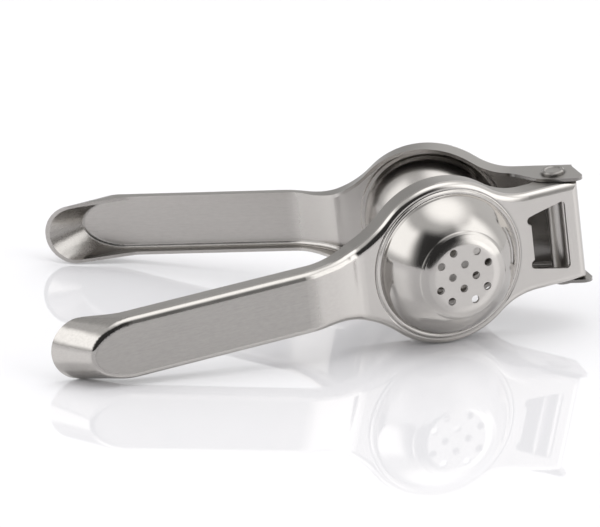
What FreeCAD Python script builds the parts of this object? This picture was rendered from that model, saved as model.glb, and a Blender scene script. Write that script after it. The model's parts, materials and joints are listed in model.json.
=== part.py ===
import FreeCAD, Part
import os
from math import asin, atan, atan2, cos, degrees, hypot, pi, radians, sin, sqrt, tan

# A hinged lemon squeezer: two pressed sheet levers that turn on one rivet.
# The cup lever carries a drained cup, the press lever a dome that enters it.
# All sizes are in millimetres. Each lever is drawn in its own frame: x runs from
# the hinge axis to the handle's tip, y along the hinge axis, and z outward from the
# plane in which the levers are parallel. The levers are then opened and stood up.

V = FreeCAD.Vector

# Sheet
SHEET = 1.3
BEND = 3.0                    # outer radius of the bend from a web to its walls

# Cup, drawn outward from the cup lever's web
CUP_MOUTH_R = 28.6
CUP_RING_W = 1.4              # raised ring round the mouth
CUP_RING_H = 0.6
CUP_DEPTH = 15.8              # from the web's outer face to the base's outer face
CUP_BASE_R = 17.4             # where the side meets the step round the base
CUP_BASE_STEP = 0.5
CUP_FLAT_R = 13.2             # flat part of the base
CUP_FLAT_ROUND = 8.5          # radius of the shoulder between the step and the flat
HOLE_D = 3.2
HOLE_PITCH = 6.9
HOLE_ROWS = 4                 # rows and columns; the four corner holes are left out
HOLE_TURN = 37.0              # turn of the rows from the lever's length, degrees

# Dome, drawn inward from the press lever's web
DOME_UNDER = 0.6              # its root is this much smaller in radius than the mouth
DOME_R = CUP_MOUTH_R - DOME_UNDER
DOME_RING_W = 1.8             # sunk ring round the root
DOME_RING_H = 0.6
RIND_GAP = 10.6               # from the dome's top to the cup's base when fully closed

# Outline of a lever, seen square to its web
HEAD_X = 51.4                 # hinge axis to the centre of cup and dome
HEAD_R = CUP_MOUTH_R + CUP_RING_W + BEND
HANDLE_HALF = 12.5
CUP_TIP_X = 212.8
PRESS_TIP_X = 209.0
HANDLE_BLEND = 40.0           # hollow radius between handle and head
HINGE_BLEND = 25.0            # hollow radius between head and hinge
HINGE_HALF = 20.4             # half the width of the cup lever at the hinge

# Heights of the webs and of the free edges above the parting plane
HEAD_WEB = 11.0
HANDLE_WEB = 16.5
STEP_X = (89.5, 108.5)        # the web climbs from head to handle between these
STEP_R = 26.0
HEAD_RIM = 1.0
CUP_HANDLE_RIM = 8.0
PRESS_HANDLE_RIM = 11.0
RIM_STEP_X = (88.0, 106.0)
TIP_RIM = 2.7
CUP_RIM_BACK = (26.0, 13.0)   # the edge dips towards the tip between these, from it
PRESS_RIM_BACK = (34.0, 10.0)
RIM_R = 14.0
TIP_LEAN = 12.2               # how far the tip's end wall leans back on its way up
TIP_NOSE = 22.0               # length of the web's rounded end; at the rim it is round
DOME_H = 2 * (HEAD_WEB - SHEET) + CUP_DEPTH - RIND_GAP

# Rivet and spacer
RIVET_R = 2.5
RIVET_LIP = 2.0               # the heads stand this far proud of the shank
RIVET_HEAD_R = RIVET_R + RIVET_LIP
RIVET_HEAD_H = 1.6
RIVET_BEVEL = 0.6
DIMPLE_R = 3.3
DIMPLE_H = 0.4
DIMPLE_SLOPE = 0.5            # floor radius of the dimple is smaller by this
RUNNING = 0.05                # radial clearance of what turns on the rivet
SPACER_WALL = 1.45
SPACER_R = RIVET_R + RUNNING + SPACER_WALL

# Hinge end
END_CLEAR = 0.7               # between the spacer and the short wall behind it
END_X = -(SPACER_R + END_CLEAR + SHEET)
END_LIP = 7.3                 # height of the short wall's free edge
LUG_R = 6.2                   # round lug of the cup lever about the rivet
LUG_NECK = (4.0, 4.0)         # height and rounding of the lug's shoulder
LUG_FOOT = (8.0, 5.0)         # where the lug meets the rim, and the rounding there
EAR_GAP = 0.3                 # running gap between an ear and the lug inside it
EAR_TIP = (-13.1, -4.4)
EAR_TIP_R = 2.4
EAR_HEEL = 3.5                # from the ear's tip to where its lower edge runs level
EAR_HEEL_R = 4.0
EAR_LIP = -6.4                # free edge of the press lever's ears
EAR_X = (4.0, 17.0)           # the free edge climbs to the rim between these
EAR_BLEND = 8.0

# Window in the cup lever between the cup and the hinge
WINDOW_X = (0.8, 15.6)
WINDOW_HALF = (14.4, 11.0)    # half widths at the hinge side and at the cup side
WINDOW_CORNER = 1.6
RELIEF_R = 1.9                # round reliefs in the corners at the cup side
RELIEF_OUT = 1.5              # how far they reach past the window's edge

# Stance: each lever is turned this far from the parting plane, degrees
HALF_OPEN = 16.8

REACH = 60.0                  # how far blanks and cutters run past what they cut
OVERCUT = 1.0                 # how far a hollow starts inside the web it opens


def corner_arc(before, corner, after):
    """Start, middle and end of the arc that rounds a corner (a, b, radius)."""
    a, b, radius = corner
    len_before = hypot(before[0] - a, before[1] - b)
    len_after = hypot(after[0] - a, after[1] - b)
    back = ((before[0] - a) / len_before, (before[1] - b) / len_before)
    on = ((after[0] - a) / len_after, (after[1] - b) / len_after)
    turn = atan2(back[0] * on[1] - back[1] * on[0], back[0] * on[0] + back[1] * on[1])
    half = abs(turn) / 2
    cut = radius / tan(half)
    inward = (back[0] + on[0], back[1] + on[1])
    depth = (radius / sin(half) - radius) / hypot(*inward)
    start = (a + back[0] * cut, b + back[1] * cut)
    middle = (a + inward[0] * depth, b + inward[1] * depth)
    end = (a + on[0] * cut, b + on[1] * cut)
    return start, middle, end


def rounded_wire(corners, place):
    """Closed wire through corners (a, b, radius); place turns (a, b) into a point."""
    stops = []
    for i, corner in enumerate(corners):
        if corner[2] > 0:
            stops.append(corner_arc(corners[i - 1], corner, corners[(i + 1) % len(corners)]))
        else:
            stops.append((corner[:2], None, corner[:2]))
    edges = []
    for i, (start, middle, end) in enumerate(stops):
        if middle:
            edges.append(Part.Arc(place(*start), place(*middle), place(*end)).toShape())
        after = stops[(i + 1) % len(stops)][0]
        if hypot(after[0] - end[0], after[1] - end[1]) > 1e-6:
            edges.append(Part.makeLine(place(*end), place(*after)))
    return Part.Wire(edges)


def side_prism(corners, half_width=REACH):
    """Solid whose side view (x, z) is the given outline."""
    face = Part.Face(rounded_wire(corners, lambda x, z: V(x, -half_width, z)))
    return face.extrude(V(0, 2 * half_width, 0))


def neck(half, blend, side, far_x, inset):
    """Side of a neck: its far end, then start, middle and end of its hollow arc."""
    reach = sqrt((HEAD_R + blend) ** 2 - (half + blend) ** 2)
    cx = HEAD_X + side * reach
    cy = half + blend
    hollow = blend + inset
    to_head = atan2(-cy, HEAD_X - cx)
    halfway = (to_head - pi / 2) / 2
    return ((far_x, cy - hollow),
            (cx, cy - hollow),
            (cx + hollow * cos(halfway), cy + hollow * sin(halfway)),
            (cx + hollow * cos(to_head), cy + hollow * sin(to_head)))


def head_prism(hinge_half, inset, start_x, end_x):
    """Round head with its two necks, cut square at both ends, with walls moved in."""
    hinge = neck(hinge_half, HINGE_BLEND, -1, start_x, inset)
    handle = neck(HANDLE_HALF, HANDLE_BLEND, 1, end_x, inset)
    top = (HEAD_X, HEAD_R - inset)
    edges = []
    for mirror in (1, -1):
        at = lambda p: V(p[0], mirror * p[1], -REACH)
        for near in (hinge, handle):
            edges.append(Part.makeLine(at(near[0]), at(near[1])))
            edges.append(Part.Arc(at(near[1]), at(near[2]), at(near[3])).toShape())
        edges.append(Part.Arc(at(hinge[3]), at(top), at(handle[3])).toShape())
    for x, half in (hinge[0], handle[0]):
        edges.append(Part.makeLine(V(x, half, -REACH), V(x, -half, -REACH)))
    face = Part.Face(Part.Wire(Part.__sortEdges__(edges)))
    return face.extrude(V(0, 0, 2 * REACH))


def tip_outline(tip_x, inset, start_x, z):
    """Corners and end curve of the handle's tip, cut square to z."""
    rise = (z - TIP_RIM) / (HANDLE_WEB - TIP_RIM)
    slope = TIP_LEAN / (HANDLE_WEB - TIP_RIM)
    half = HANDLE_HALF - inset
    nose = half + (TIP_NOSE - HANDLE_HALF) * rise
    centre = tip_x - inset * hypot(1, slope) - TIP_LEAN * rise - nose
    quarter = Part.Arc(V(0, -1, 0), V(1, 0, 0), V(0, 1, 0)).toShape()
    stretch = FreeCAD.Matrix()
    stretch.scale(nose, half, 1)
    stretch.move(V(centre, 0, z))
    return ([V(start_x, half, z), V(start_x, -half, z), V(centre, -half, z), V(centre, half, z)],
            quarter.transformGeometry(stretch))


def tip_block(tip_x, inset, start_x):
    """Handle beyond start_x: a round-ended bar whose end leans back as it rises."""
    low, low_end = tip_outline(tip_x, inset, start_x, -BEND)
    high, high_end = tip_outline(tip_x, inset, start_x, HANDLE_WEB + BEND)
    faces = [Part.makeRuledSurface(low_end, high_end)]
    for ring, end in ((low, low_end), (high, high_end)):
        sides = [Part.makeLine(ring[i], ring[(i + 1) % 4]) for i in (3, 0, 1)]
        faces.append(Part.Face(Part.Wire(sides + [end])))
    for i in (3, 0, 1):
        j = (i + 1) % 4
        faces.append(Part.Face(Part.makePolygon([low[i], low[j], high[j], high[i], low[i]])))
    return Part.Solid(Part.Shell(faces))


def web_line(inset, tip_x):
    """Web's face in side view, from the handle to the head, moved in by inset."""
    climb = atan2(HANDLE_WEB - HEAD_WEB, STEP_X[1] - STEP_X[0])
    shift = inset * tan(climb / 2)
    return [(tip_x + REACH, HANDLE_WEB - inset, 0),
            (STEP_X[1] + shift, HANDLE_WEB - inset, STEP_R - inset),
            (STEP_X[0] + shift, HEAD_WEB - inset, STEP_R + inset)]


def rim_line(tip_x, handle_rim, back):
    """Free edge of the walls in side view, from under the head to beyond the tip."""
    return [(HEAD_X, HEAD_RIM, 0),
            (RIM_STEP_X[0], HEAD_RIM, RIM_R),
            (RIM_STEP_X[1], handle_rim, RIM_R),
            (tip_x - back[0], handle_rim, RIM_R),
            (tip_x - back[1], TIP_RIM, RIM_R),
            (tip_x + REACH, TIP_RIM, 0)]


def lever_block(hinge_half, tip_x, inset):
    """Block of a lever's outside, or of its hollow when inset is the sheet.

    It runs on past the hinge end and past the free edges of the walls."""
    split_x = (STEP_X[1] + tip_x) / 2
    low = -REACH / 2
    side = side_prism(web_line(inset, tip_x) + [(END_X - 2 * REACH, HEAD_WEB - inset, 0),
                                                (END_X - 2 * REACH, low, 0),
                                                (tip_x + REACH, low, 0)])
    head = head_prism(hinge_half, inset, END_X - REACH, split_x).common(side)
    tip = tip_block(tip_x, inset, split_x).common(side)
    block = head.fuse(tip).removeSplitter()
    return block.makeFillet(BEND - inset, web_edges(block, HEAD_WEB - inset))


def web_edges(block, lowest):
    """Edges between the web and the walls, and round the tip, of a lever's block."""
    chosen = []
    for edge in block.Edges:
        middle = edge.valueAt((edge.FirstParameter + edge.LastParameter) / 2)
        ends = [vertex.Point for vertex in edge.Vertexes]
        if min(p.z for p in ends + [middle]) < lowest - 0.01:
            continue
        runs_across = abs(middle.y) < 1 and max(abs(p.y) for p in ends) > 5
        if runs_across and middle.x < STEP_X[1] + STEP_R:
            continue
        chosen.append(edge)
    return chosen


def pressed_channel(hinge_half, tip_x, ear, rim):
    """Web, side walls and end wall of a lever, before its cup or dome is drawn."""
    above = [(tip_x + REACH, REACH, 0), (END_X + BEND, REACH, 0)]
    bend = [(END_X + BEND, HEAD_WEB, 0), (END_X, HEAD_WEB, BEND), (END_X, END_LIP, 0)]
    inner_bend = [(END_X + BEND, HEAD_WEB - SHEET, 0),
                  (END_X + SHEET, HEAD_WEB - SHEET, BEND - SHEET),
                  (END_X + SHEET, END_LIP, 0),
                  (END_X - REACH, END_LIP, 0)]
    below = [(END_X - REACH, -REACH, 0), (tip_x + REACH, -REACH, 0)]
    outside = lever_block(hinge_half, tip_x, 0).common(side_prism(above + bend + ear + rim))
    hollow = lever_block(hinge_half, tip_x, SHEET)
    hollow = hollow.common(side_prism(above + inner_bend + below))
    return outside.cut(hollow).removeSplitter()


def on_head(r, z):
    """Point of a section about the head's axis."""
    return V(HEAD_X + r, 0, z)


def about_head(face):
    """Solid of revolution of a section about the head's axis."""
    return face.revolve(V(HEAD_X, 0, 0), V(0, 0, 1), 360)


def cup_block(inset):
    """Block under the cup's skin: ring, spherical side, step, shoulder and flat base."""
    ring_top = HEAD_WEB + CUP_RING_H
    base = HEAD_WEB + CUP_DEPTH
    step_r = CUP_BASE_R - CUP_BASE_STEP
    spread = asin((step_r - CUP_FLAT_R) / CUP_FLAT_ROUND)
    shoulder_z = base - CUP_FLAT_ROUND
    step_top = shoulder_z + CUP_FLAT_ROUND * cos(spread)
    base_foot = step_top - CUP_BASE_STEP
    drop = base_foot - ring_top
    ball_z = ring_top - (CUP_MOUTH_R ** 2 - CUP_BASE_R ** 2 - drop ** 2) / (2 * drop)
    ball_r = hypot(CUP_MOUTH_R, ring_top - ball_z) - inset
    root = HEAD_WEB - SHEET - (OVERCUT if inset else 0)
    ring_r = CUP_MOUTH_R + CUP_RING_W - inset
    ring_z = ring_top - inset
    foot_z = base_foot - inset
    mouth_r = sqrt(ball_r ** 2 - (ring_z - ball_z) ** 2)
    foot_r = sqrt(ball_r ** 2 - (foot_z - ball_z) ** 2)
    halfway = (asin(mouth_r / ball_r) + asin(foot_r / ball_r)) / 2
    round_r = CUP_FLAT_ROUND - inset
    shoulder = [on_head(CUP_FLAT_R + round_r * sin(a), shoulder_z + round_r * cos(a))
                for a in (spread, spread / 2, 0)]
    ring = [on_head(0, root), on_head(ring_r, root), on_head(ring_r, ring_z - CUP_RING_H),
            on_head(ring_r - CUP_RING_H, ring_z), on_head(mouth_r, ring_z)]
    side = Part.Arc(on_head(mouth_r, ring_z),
                    on_head(ball_r * sin(halfway), ball_z + ball_r * cos(halfway)),
                    on_head(foot_r, foot_z)).toShape()
    edges = Part.makePolygon(ring).Edges + [side]
    edges += [Part.makeLine(on_head(foot_r, foot_z), shoulder[0]), Part.Arc(*shoulder).toShape()]
    edges += Part.makePolygon([shoulder[2], on_head(0, base - inset), on_head(0, root)]).Edges
    return about_head(Part.Face(Part.Wire(edges)))


def drain_holes():
    """Cutters for the drain holes: a square grid without its corners, turned."""
    cutters = []
    last = HOLE_ROWS - 1
    turn = radians(HOLE_TURN)
    for row in range(HOLE_ROWS):
        for column in range(HOLE_ROWS):
            if row in (0, last) and column in (0, last):
                continue
            a = (row - last / 2) * HOLE_PITCH
            b = (column - last / 2) * HOLE_PITCH
            foot = V(HEAD_X + a * cos(turn) - b * sin(turn), a * sin(turn) + b * cos(turn), HEAD_WEB)
            cutters.append(Part.makeCylinder(HOLE_D / 2, REACH, foot))
    return Part.makeCompound(cutters)


def window():
    """Cutter for the window: wide at the hinge, with round reliefs at the cup side."""
    near, far = WINDOW_X
    wide, narrow = WINDOW_HALF
    corners = [(near, -wide, WINDOW_CORNER), (far, -narrow, WINDOW_CORNER),
               (far, narrow, WINDOW_CORNER), (near, wide, WINDOW_CORNER)]
    low = HEAD_WEB - BEND
    face = Part.Face(rounded_wire(corners, lambda x, y: V(x, y, low)))
    cutter = face.extrude(V(0, 0, 2 * BEND))
    for side in (-1, 1):
        centre = V(far + RELIEF_OUT - RELIEF_R, side * (narrow - RELIEF_R), low)
        cutter = cutter.fuse(Part.makeCylinder(RELIEF_R, 2 * BEND, centre))
    return cutter


def hinge_bore(radius):
    """Cutter along the hinge axis."""
    return Part.makeCylinder(radius, 2 * REACH, V(0, -REACH, 0), V(0, 1, 0))


def cup_lever():
    """Lever with the cup: lugs about the rivet, window, cup and drain holes."""
    lug = [(-LUG_R, LUG_NECK[0], LUG_NECK[1]),
           (-LUG_R, -LUG_R, LUG_R),
           (LUG_R, -LUG_R, LUG_R),
           (LUG_FOOT[0], HEAD_RIM, LUG_FOOT[1])]
    rim = rim_line(CUP_TIP_X, CUP_HANDLE_RIM, CUP_RIM_BACK)
    lever = pressed_channel(HINGE_HALF, CUP_TIP_X, lug, rim)
    lever = lever.fuse(cup_block(0)).cut(cup_block(SHEET))
    lever = lever.cut(drain_holes()).cut(window())
    return lever.cut(hinge_bore(RIVET_R + RUNNING))


def dome_block(inset):
    """Block over the dome's skin, hanging from the web towards the parting plane."""
    under_web = HEAD_WEB - SHEET
    root = HEAD_WEB + (OVERCUT if inset else 0)
    ring_r = DOME_R + DOME_RING_W - inset
    ring_z = under_web - DOME_RING_H + inset
    cap_h = DOME_H - DOME_RING_H
    ball_r = (DOME_R ** 2 + cap_h ** 2) / (2 * cap_h) - inset
    ball_z = under_web - DOME_H + inset + ball_r
    side_r = sqrt(ball_r ** 2 - (ball_z - ring_z) ** 2)
    halfway = asin(side_r / ball_r) / 2
    ring = [on_head(0, root), on_head(ring_r, root), on_head(ring_r, ring_z + DOME_RING_H),
            on_head(ring_r - DOME_RING_H, ring_z), on_head(side_r, ring_z)]
    side = Part.Arc(on_head(side_r, ring_z),
                    on_head(ball_r * sin(halfway), ball_z - ball_r * cos(halfway)),
                    on_head(0, ball_z - ball_r)).toShape()
    axis = Part.makeLine(on_head(0, ball_z - ball_r), on_head(0, root))
    return about_head(Part.Face(Part.Wire(Part.makePolygon(ring).Edges + [side, axis])))


def press_lever():
    """Lever with the dome: its ears lie outside the cup lever's lugs."""
    ear = [(EAR_TIP[0], EAR_TIP[1], EAR_TIP_R),
           (EAR_TIP[0] + EAR_HEEL, EAR_LIP, EAR_HEEL_R),
           (EAR_X[0], EAR_LIP, EAR_BLEND),
           (EAR_X[1], HEAD_RIM, EAR_BLEND)]
    rim = rim_line(PRESS_TIP_X, PRESS_HANDLE_RIM, PRESS_RIM_BACK)
    lever = pressed_channel(HINGE_HALF + EAR_GAP + SHEET, PRESS_TIP_X, ear, rim)
    lever = lever.fuse(dome_block(0)).cut(dome_block(SHEET))
    return lever.cut(hinge_bore(RIVET_R))


def hinge_rivet():
    """Rivet through ears, lugs and spacer, with a bevelled, dimpled head at each end."""
    seat = HINGE_HALF + EAR_GAP + SHEET
    top = seat + RIVET_HEAD_H
    floor = top - DIMPLE_H
    upper = [V(RIVET_R, seat, 0),
             V(RIVET_HEAD_R, seat, 0),
             V(RIVET_HEAD_R, top - RIVET_BEVEL, 0),
             V(RIVET_HEAD_R - RIVET_BEVEL, top, 0),
             V(DIMPLE_R, top, 0),
             V(DIMPLE_R - DIMPLE_SLOPE, floor, 0),
             V(0, floor, 0)]
    lower = [V(p.x, -p.y, 0) for p in reversed(upper)]
    face = Part.Face(Part.makePolygon(lower + upper + lower[:1]))
    return face.revolve(V(0, 0, 0), V(0, 1, 0), 360)


def spacer_tube():
    """Tube round the rivet that keeps the cup lever's lugs apart."""
    half = HINGE_HALF - SHEET
    tube = Part.makeCylinder(SPACER_R, 2 * half, V(0, -half, 0), V(0, 1, 0))
    return tube.cut(hinge_bore(RIVET_R + RUNNING))


def floor_tilt(tip_x):
    """Tilt at which a lever rests on the edges of its head and of its tip, radians."""
    opened = radians(HALF_OPEN)
    narrowing = HEAD_R - HANDLE_HALF
    length = tip_x - HANDLE_HALF - HEAD_X
    run = length * cos(opened) - (TIP_RIM - HEAD_RIM) * sin(opened)
    return atan(narrowing / sqrt(run ** 2 - (narrowing * cos(opened)) ** 2))


def stand(shape, side, tilt):
    """Turn a piece from its lever's frame into the opened, standing squeezer."""
    placed = shape.copy()
    placed.rotate(V(0, 0, 0), V(1, 0, 0), 90 * side)
    placed.rotate(V(0, 0, 0), V(0, 0, 1), 180 - HALF_OPEN * side)
    placed.rotate(V(0, 0, 0), V(0, 1, 0), -degrees(tilt))
    return placed


def main():
    tilt = min(floor_tilt(CUP_TIP_X), floor_tilt(PRESS_TIP_X))
    pieces = {
        "cup_lever": stand(cup_lever(), -1, tilt),
        "press_lever": stand(press_lever(), 1, tilt),
        "hinge_rivet": stand(hinge_rivet(), 1, tilt),
        "spacer_tube": stand(spacer_tube(), -1, tilt),
    }
    box = Part.makeCompound(list(pieces.values())).optimalBoundingBox()
    home = V(-(box.XMin + box.XMax) / 2, -(box.YMin + box.YMax) / 2, -box.ZMin)
    os.makedirs("parts", exist_ok=True)
    for name, shape in pieces.items():
        shape.translate(home)
        shape.exportStep(os.path.join("parts", name + ".step"))
        print(name, shape.isValid(), len(shape.Solids), round(shape.Volume, 1))
    print("hinge axis passes", tuple(round(c, 4) for c in home))
    print("tilt", round(degrees(tilt), 4))
    print("size", round(box.XLength, 2), round(box.YLength, 2), round(box.ZLength, 2))


main()
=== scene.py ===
import json
import math

import bpy
from mathutils import Matrix, Vector

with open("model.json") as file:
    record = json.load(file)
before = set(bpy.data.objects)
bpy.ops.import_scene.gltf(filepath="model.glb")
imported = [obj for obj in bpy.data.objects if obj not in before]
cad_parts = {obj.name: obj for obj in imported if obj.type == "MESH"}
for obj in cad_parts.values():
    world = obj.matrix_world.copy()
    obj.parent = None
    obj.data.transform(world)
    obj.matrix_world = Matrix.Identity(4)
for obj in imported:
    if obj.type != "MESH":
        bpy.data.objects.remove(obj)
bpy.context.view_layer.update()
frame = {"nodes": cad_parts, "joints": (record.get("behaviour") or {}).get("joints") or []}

scene = bpy.context.scene
scene.view_settings.view_transform = "Standard"


# Camera

CAMERA_AZIMUTH = -5.58
CAMERA_ELEVATION = 20.9
CAMERA_ROLL = 2.1
CAMERA_DISTANCE = 2.451
CAMERA_SIDE = 0.09967         # the frame's middle lies this far left of the hinge
CAMERA_RISE = -0.02235
PIXELS_PER_METRE = 2541.0
FRAME_WIDTH_PX = 600
SENSOR_MM = 36.0
HINGE = frame["joints"][0]["pos_m"]


def camera_axes():
    """Right, up and forward of the camera in the row frame."""
    azimuth = math.radians(CAMERA_AZIMUTH)
    elevation = math.radians(CAMERA_ELEVATION)
    roll = math.radians(CAMERA_ROLL)
    forward = Vector((-math.sin(azimuth) * math.cos(elevation),
                      math.cos(azimuth) * math.cos(elevation),
                      -math.sin(elevation)))
    level = forward.cross(Vector((0, 0, 1))).normalized()
    upright = level.cross(forward)
    right = level * math.cos(roll) + upright * math.sin(roll)
    up = upright * math.cos(roll) - level * math.sin(roll)
    return right, up, forward


def add_camera():
    right, up, forward = camera_axes()
    data = bpy.data.cameras.new("camera")
    camera = bpy.data.objects.new("camera", data)
    scene.collection.objects.link(camera)
    place = (Vector((HINGE[0], HINGE[1], 0)) - forward * CAMERA_DISTANCE
             - right * CAMERA_SIDE - up * CAMERA_RISE)
    turn = Matrix((right, up, -forward)).transposed().to_4x4()
    camera.matrix_world = Matrix.Translation(place) @ turn
    data.sensor_width = SENSOR_MM
    data.lens = PIXELS_PER_METRE * CAMERA_DISTANCE / FRAME_WIDTH_PX * SENSOR_MM
    data.clip_start = 0.1
    data.clip_end = 50
    scene.camera = camera


add_camera()


# Node helpers


class Nodes:
    """A node tree with short calls for adding and linking nodes."""

    def __init__(self, tree):
        self.tree = tree
        tree.nodes.clear()

    def add(self, kind, **settings):
        node = self.tree.nodes.new(kind)
        for key, value in settings.items():
            setattr(node, key, value)
        return node

    def link(self, source, target):
        self.tree.links.new(source, target)

    def feed(self, socket, value):
        if isinstance(value, bpy.types.NodeSocket):
            self.link(value, socket)
        else:
            socket.default_value = value

    def math(self, operation, *values):
        node = self.add("ShaderNodeMath", operation=operation)
        for socket, value in zip(node.inputs, values):
            self.feed(socket, value)
        return node.outputs[0]

    def ramp(self, value, none, full):
        """0 at none and beyond it, 1 at full and beyond it, smooth between."""
        node = self.add("ShaderNodeMapRange", clamp=True, interpolation_type="SMOOTHSTEP")
        self.feed(node.inputs[0], value)
        node.inputs[1].default_value = none
        node.inputs[2].default_value = full
        node.inputs[3].default_value = 0
        node.inputs[4].default_value = 1
        return node.outputs[0]

    def grey(self, value):
        node = self.add("ShaderNodeCombineColor")
        for socket in node.inputs[:3]:
            self.feed(socket, value)
        return node.outputs[0]


# Studio light: the world holds the soft boxes, the pale back and the dark front


def band(nodes, value, low, high, soft):
    """1 where value lies between low and high, fading over soft at both ends."""
    rise = nodes.ramp(value, low - soft, low + soft)
    fall = nodes.ramp(value, high - soft, high + soft)
    return nodes.math("MULTIPLY", rise, nodes.math("SUBTRACT", 1.0, fall))


ROOM_LEVEL = 0.8
# azimuth from the viewer's side towards +X: low, high, softness; elevation: the same; strength
SOFT_BOXES = (
    (-190, -118, 12, -90, 66, 6, 0.55),       # back left
    (104, 190, 14, -90, 66, 6, 0.95),         # back right
    (-44, 36, 12, -90, 54, 8, 0.05),          # the dark side behind the camera
    (40, 150, 12, 50, 74, 8, 1.3),            # weaker light above the right box
    (-107, -50, 9, 8, 48, 6, 1.95),           # left box
    (45, 96, 11, -2, 52, 6, 2.05),            # right box
)
TOP_LIGHT = 2.1
TOP_AIM = (110, 84)                           # azimuth and elevation of its middle
TOP_SPREAD = (5, 31)                          # full within the first angle, none past the second


def sky_direction(azimuth, elevation):
    azimuth, elevation = math.radians(azimuth), math.radians(elevation)
    return Vector((math.sin(azimuth) * math.cos(elevation),
                   -math.cos(azimuth) * math.cos(elevation), math.sin(elevation)))


def add_world():
    world = bpy.data.worlds.new("studio")
    scene.world = world
    world.use_nodes = True
    nodes = Nodes(world.node_tree)
    place = nodes.add("ShaderNodeTexCoord")
    split = nodes.add("ShaderNodeSeparateXYZ")
    nodes.link(place.outputs["Generated"], split.inputs[0])
    x, y, z = split.outputs
    azimuth = nodes.math("MULTIPLY", nodes.math("ARCTAN2", x, nodes.math("MULTIPLY", y, -1.0)),
                         180 / math.pi)
    elevation = nodes.math("MULTIPLY", nodes.math("ARCSINE", z), 180 / math.pi)

    def over(level, mask, strength):
        keep = nodes.math("MULTIPLY", level, nodes.math("SUBTRACT", 1.0, mask))
        return nodes.math("ADD", keep, nodes.math("MULTIPLY", mask, strength))

    level = ROOM_LEVEL
    for az_low, az_high, az_soft, el_low, el_high, el_soft, strength in SOFT_BOXES:
        mask = nodes.math("MULTIPLY", band(nodes, azimuth, az_low, az_high, az_soft),
                          band(nodes, elevation, el_low, el_high, el_soft))
        level = over(level, mask, strength)
    aim = nodes.add("ShaderNodeVectorMath", operation="DOT_PRODUCT")
    nodes.link(place.outputs["Generated"], aim.inputs[0])
    aim.inputs[1].default_value = sky_direction(*TOP_AIM)
    near, far = (math.cos(math.radians(a)) for a in TOP_SPREAD)
    level = over(level, nodes.ramp(aim.outputs["Value"], far, near), TOP_LIGHT)

    background = nodes.add("ShaderNodeBackground")
    nodes.link(nodes.grey(level), background.inputs["Color"])
    out = nodes.add("ShaderNodeOutputWorld")
    nodes.link(background.outputs[0], out.inputs["Surface"])


add_world()


# Floor: a glossy white sheet

FLOOR_HALF_SIZE = 6.0
FLOOR_COLOUR = (0.945, 0.94, 0.965, 1)
FLOOR_GLOW = 0.03                             # only where camera, mirror and glass rays see it
FLOOR_GLOSS = 0.22
FLOOR_ROUGHNESS = 0.03


def add_floor():
    size = FLOOR_HALF_SIZE
    mesh = bpy.data.meshes.new("floor")
    mesh.from_pydata([(-size, -size, 0), (size, -size, 0), (size, size, 0), (-size, size, 0)],
                     [], [(0, 1, 2, 3)])
    floor = bpy.data.objects.new("floor", mesh)
    scene.collection.objects.link(floor)
    material = bpy.data.materials.new("floor")
    material.use_nodes = True
    nodes = Nodes(material.node_tree)
    diffuse = nodes.add("ShaderNodeBsdfDiffuse")
    diffuse.inputs["Color"].default_value = FLOOR_COLOUR
    gloss = nodes.add("ShaderNodeBsdfAnisotropic")
    gloss.inputs["Color"].default_value = (1, 1, 1, 1)
    gloss.inputs["Roughness"].default_value = FLOOR_ROUGHNESS
    sheet = nodes.add("ShaderNodeMixShader")
    sheet.inputs[0].default_value = FLOOR_GLOSS
    nodes.link(diffuse.outputs[0], sheet.inputs[1])
    nodes.link(gloss.outputs[0], sheet.inputs[2])
    path = nodes.add("ShaderNodeLightPath")
    seen = nodes.math("MAXIMUM", path.outputs["Is Camera Ray"],
                      nodes.math("MAXIMUM", path.outputs["Is Glossy Ray"],
                                 path.outputs["Is Transmission Ray"]))
    glow = nodes.add("ShaderNodeEmission")
    nodes.link(nodes.math("MULTIPLY", seen, FLOOR_GLOW), glow.inputs["Strength"])
    both = nodes.add("ShaderNodeAddShader")
    nodes.link(sheet.outputs[0], both.inputs[0])
    nodes.link(glow.outputs[0], both.inputs[1])
    out = nodes.add("ShaderNodeOutputMaterial")
    nodes.link(both.outputs[0], out.inputs["Surface"])
    mesh.materials.append(material)


add_floor()


# Steel

HALF_OPEN = math.radians(16.8)                # half the angle between the levers at rest
UP = -Vector(frame["joints"][0]["axis"]).normalized()
HEAD_X = 51.4                                 # hinge axis to the middle of cup and dome, mm

# tone of each kind of surface, and what is left of it where shade is painted in
POLISHED = 0.53
SATIN = 0.46
BRUSHED = 0.39
CUT_WALL = 0.8 * SATIN
TINT = (1.0, 0.96, 0.915)
HINGE_SHADE = 0.5
SEAM_SHADE = 0.45
RING_SHADE = 0.75

# roughness of each kind of surface
ROUGH_BEND = 0.12
ROUGH_INNER_BEND = 0.25
ROUGH_HEAD = 0.2
ROUGH_HANDLE = 0.3
ROUGH_WALL = 0.42
ROUGH_TIP = 0.28

# where each kind of surface starts and where it is complete,
# by how far it faces outward from the lever
FLAT = (0.965, 0.997)
WALL = (0.2, 0.04)
INSIDE = (-0.2, -0.5)
BOWL_SIDE = (0.998, 0.97)
# and by its place, mm
BOWL_RADIUS = (28.6, 27.8)
HANDLE_X = (88.0, 104.0)
TIP_X = (182.0, 192.0)
# the hinge end's inside, where shade is painted into the tone
HINGE_X = (30.0, 20.0)

# noise: scale along the lever, along the hinge and outward; detail; roughness
LINES = ((0.02, 2.2, 2.2), 3.0, 0.6)
GRAIN = ((0.35, 1.4, 1.4), 4.0, 0.7)
WAVES = ((0.07, 0.07, 0.07), 1.0, 0.4)
LINES_ROUGH = 0.06
LINES_TONE = 0.05
GRAIN_TONE = 0.12
LINES_HEIGHT = 0.000005
WAVES_HEIGHT = 0.00012

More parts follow.
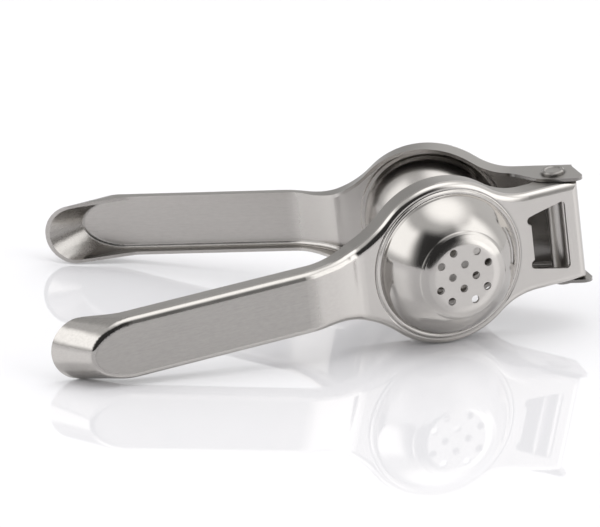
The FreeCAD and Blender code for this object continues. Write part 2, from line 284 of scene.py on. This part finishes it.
# rings pressed into the sheet: radius and half width in mm, height in metres
CUP_RINGS = ((17.4, 0.7, 0.00009), (30.4, 0.6, -0.00014), (28.4, 0.5, -0.0001))
DOME_RINGS = ((27.4, 0.6, -0.00012),)
SHOULDER = (17.2, 12.0)                       # outer and inner radius round the cup's base
SHOULDER_DROP = 0.0009
CREASE = (88.0, 91.5)                         # where the neck turns into the handle
CREASE_DEPTH = 0.0004
PIN_SEAM = (4.4, 1.3)                         # radius and half width of the painted shade in the seam round the rivet

# side of the hinge and least roughness of each piece
FINISHES = {"cup_lever": (-1, 0.0), "press_lever": (1, 0.0),
            "hinge_rivet": (1, 0.28), "spacer_tube": (-1, 0.36)}


def lever_axes(side):
    """Axes of a lever's own frame: along it, along the hinge and outward.

    side is -1 for the cup lever and 1 for the press lever."""
    straight = -Vector((1, 0, 0))
    straight = (straight - UP * straight.dot(UP)).normalized()
    out = UP.cross(straight) * -side
    along = straight * math.cos(HALF_OPEN) + out * math.sin(HALF_OPEN)
    outward = out * math.cos(HALF_OPEN) - straight * math.sin(HALF_OPEN)
    return along.normalized(), UP, outward.normalized()


class Steel(Nodes):
    """Stainless steel seen from a lever's own frame, in millimetres from the hinge."""

    def __init__(self, name, side):
        material = bpy.data.materials.new(name)
        material.use_nodes = True
        super().__init__(material.node_tree)
        self.material = material
        place = self.add("ShaderNodeTexCoord")
        axes = lever_axes(side)
        self.x, self.y, self.z = (
            self.math("MULTIPLY", self.math("SUBTRACT", self.dot(place.outputs["Object"], axis),
                                            Vector(HINGE).dot(axis)), 1000.0)
            for axis in axes)
        outward = self.dot(place.outputs["Normal"], axes[2])
        self.facing = self.math("ABSOLUTE", outward)
        self.inside = self.ramp(outward, *INSIDE)
        self.radius = self.reach(self.x, HEAD_X, self.y)
        self.pin = self.reach(self.x, 0.0, self.z)

    def reach(self, first, middle, second):
        """Distance from a line through first = middle, second = 0."""
        away = self.math("SUBTRACT", first, middle)
        return self.math("SQRT", self.math("ADD", self.math("MULTIPLY", away, away),
                                           self.math("MULTIPLY", second, second)))

    def line(self, value, middle, half_width):
        """1 where value is at middle, 0 half_width away from it."""
        away = self.math("ABSOLUTE", self.math("SUBTRACT", value, middle))
        return self.ramp(away, half_width, 0.0)

    def all_of(self, first, *rest):
        """The product of masks."""
        for mask in rest:
            first = self.math("MULTIPLY", first, mask)
        return first

    def dot(self, vector, axis):
        node = self.add("ShaderNodeVectorMath", operation="DOT_PRODUCT")
        self.link(vector, node.inputs[0])
        node.inputs[1].default_value = axis
        return node.outputs["Value"]

    def noise(self, scales, detail, roughness):
        """Noise about 0, with its own scale along each axis."""
        place = self.add("ShaderNodeCombineXYZ")
        for socket, part, scale in zip(place.inputs, (self.x, self.y, self.z), scales):
            self.link(self.math("MULTIPLY", part, scale), socket)
        node = self.add("ShaderNodeTexNoise")
        self.link(place.outputs[0], node.inputs["Vector"])
        node.inputs["Scale"].default_value = 1.0
        node.inputs["Detail"].default_value = detail
        node.inputs["Roughness"].default_value = roughness
        return self.math("SUBTRACT", node.outputs[0], 0.5)

    def plus(self, value, other, weight):
        return self.math("ADD", value, self.math("MULTIPLY", other, weight))

    def paint_shade(self, tone, part_left, mask):
        """The tone with shade painted in: only part_left of it where the mask is 1."""
        return self.math("MULTIPLY", tone, self.blend(1.0, part_left, mask))

    def blend(self, low, high, mask):
        """low where the mask is 0, high where it is 1."""
        node = self.add("ShaderNodeMix", data_type="FLOAT")
        self.feed(node.inputs[0], mask)
        self.feed(node.inputs[2], low)
        self.feed(node.inputs[3], high)
        return node.outputs[0]

    def bump(self, height, distance, onto=None):
        node = self.add("ShaderNodeBump")
        node.inputs["Distance"].default_value = distance
        self.link(height, node.inputs["Height"])
        if onto is not None:
            self.link(onto, node.inputs["Normal"])
        return node.outputs[0]


def steel(name, side, least_rough):
    """Polished head and bends, satin handle with fine lines along it, matt cut walls, and shade
    painted inside the hinge end, round the rivet and in the grooved rings.
    """
    nodes = Steel(name, side)
    inside = nodes.inside
    outside = nodes.math("SUBTRACT", 1.0, inside)
    flat = nodes.ramp(nodes.facing, *FLAT)
    wall = nodes.ramp(nodes.facing, *WALL)
    handle = nodes.ramp(nodes.x, *HANDLE_X)
    tip = nodes.all_of(nodes.ramp(nodes.x, *TIP_X), inside)
    hinge = nodes.all_of(nodes.ramp(nodes.x, *HINGE_X), inside)
    bowl = nodes.all_of(nodes.ramp(nodes.radius, *BOWL_RADIUS),
                        nodes.ramp(nodes.facing, *BOWL_SIDE))
    seam = nodes.all_of(nodes.line(nodes.pin, *PIN_SEAM), wall)
    lines = nodes.noise(*LINES)
    grain = nodes.noise(*GRAIN)

    rough = nodes.blend(nodes.blend(ROUGH_BEND, ROUGH_INNER_BEND, inside),
                        nodes.blend(ROUGH_HEAD, ROUGH_HANDLE, handle), flat)
    rough = nodes.blend(rough, ROUGH_WALL, wall)
    rough = nodes.blend(rough, ROUGH_TIP, tip)
    rough = nodes.plus(rough, lines, LINES_ROUGH)
    rough = nodes.math("MAXIMUM", rough, least_rough)

    tone = nodes.blend(POLISHED, SATIN, nodes.math("MAXIMUM", handle, bowl))
    tone = nodes.blend(tone, POLISHED, nodes.all_of(flat, inside))
    tone = nodes.blend(tone, BRUSHED, nodes.all_of(handle, flat, outside))
    tone = nodes.blend(tone, CUT_WALL, wall)
    # painted shade inside the hinge end
    tone = nodes.paint_shade(tone, HINGE_SHADE, hinge)
    tone = nodes.plus(tone, lines, LINES_TONE)
    tone = nodes.plus(tone, nodes.all_of(grain, handle), GRAIN_TONE)
    # painted shade in the seam round the rivet
    tone = nodes.paint_shade(tone, SEAM_SHADE, seam)

    shape = nodes.bump(nodes.noise(*WAVES), WAVES_HEIGHT)
    shape = nodes.bump(nodes.ramp(nodes.x, *CREASE), CREASE_DEPTH, shape)
    if side < 0:
        shape = nodes.bump(nodes.ramp(nodes.radius, *SHOULDER), SHOULDER_DROP, shape)
    for radius, half_width, height in (CUP_RINGS if side < 0 else DOME_RINGS):
        ring = nodes.line(nodes.radius, radius, half_width)
        signed = nodes.math("MULTIPLY", ring, math.copysign(1.0, height))
        shape = nodes.bump(signed, abs(height), shape)
        # grooved rings also get painted shade in the tone
        if height < 0:
            tone = nodes.paint_shade(tone, RING_SHADE, ring)
    shape = nodes.bump(nodes.all_of(lines, handle, flat), LINES_HEIGHT, shape)

    colour = nodes.add("ShaderNodeCombineColor")
    for socket, tint in zip(colour.inputs[:3], TINT):
        nodes.link(nodes.math("MULTIPLY", tone, tint), socket)
    body = nodes.add("ShaderNodeBsdfPrincipled")
    body.inputs["Metallic"].default_value = 1
    nodes.link(colour.outputs[0], body.inputs["Base Color"])
    nodes.link(rough, body.inputs["Roughness"])
    nodes.link(shape, body.inputs["Normal"])
    out = nodes.add("ShaderNodeOutputMaterial")
    nodes.link(body.outputs[0], out.inputs["Surface"])
    return nodes.material


for node, (side, least_rough) in FINISHES.items():
    mesh = frame["nodes"][node].data
    mesh.materials.clear()
    mesh.materials.append(steel(node, side, least_rough))
